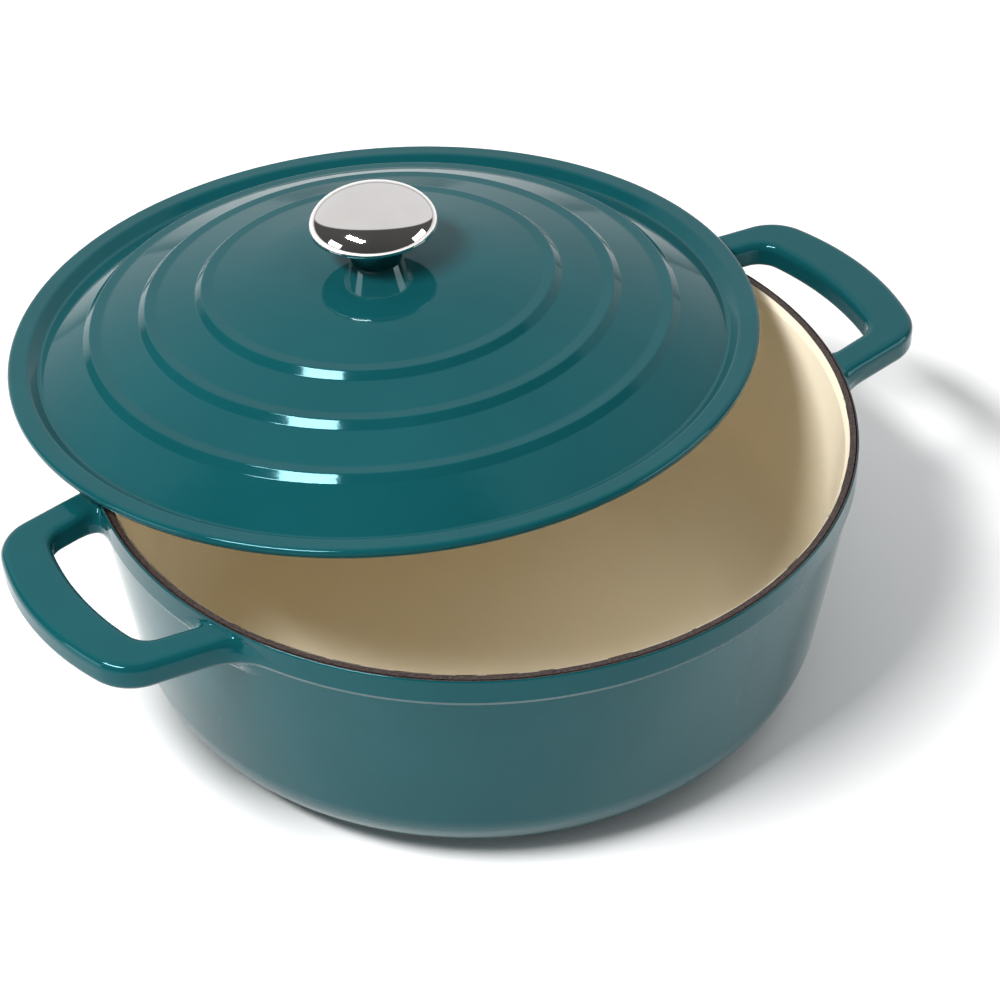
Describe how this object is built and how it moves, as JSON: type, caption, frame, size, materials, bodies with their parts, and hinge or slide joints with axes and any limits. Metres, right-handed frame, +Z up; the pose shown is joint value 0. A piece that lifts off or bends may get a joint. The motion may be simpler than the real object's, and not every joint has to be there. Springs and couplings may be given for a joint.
{
  "type": "cast iron dutch oven",
  "caption": "Round enamelled cast iron pot with two loop handles and a stepped domed lid with a polished steel knob, set ajar on the rim.",
  "frame": {"origin": "centre of the circle that the pot stands on, on the floor plane", "axes": "+Z up; +X and -X towards the two loop handles; +Y the way the lid is slid"},
  "size_m": [0.364, 0.3402, 0.1677],
  "materials": {
    "iron": "ground bare, then seasoned dark",
    "exterior_enamel": "glossy teal glass enamel on cast iron",
    "base_enamel": "black semi-gloss enamel",
    "interior_enamel": "glossy cream glass enamel",
    "steel_knob": "polished stainless steel",
    "fixings": "plain stainless steel"
  },
  "bodies": {
    "pot": {"pot_casting": "iron", "pot_exterior_enamel": "exterior_enamel", "pot_base_enamel": "base_enamel", "pot_interior_enamel": "interior_enamel"},
    "lid": {"lid_casting": "iron", "lid_exterior_enamel": "exterior_enamel", "lid_interior_enamel": "interior_enamel", "knob_screw": "fixings", "flat_washer": "fixings", "lock_washer": "fixings"},
    "knob": {"knob": "steel_knob"}
  },
  "joints": [
    {"name": "lid_lift", "type": "slide", "parent": "pot", "child": "lid", "axis": [0, 0, 1], "range_m": [0, 0.15]},
    {"name": "knob_turn", "type": "hinge", "parent": "lid", "child": "knob", "pos_m": [-0.0012, 0.06, 0.1086], "axis": [0, 0.0877, 0.9961], "continuous": true}
  ]
}
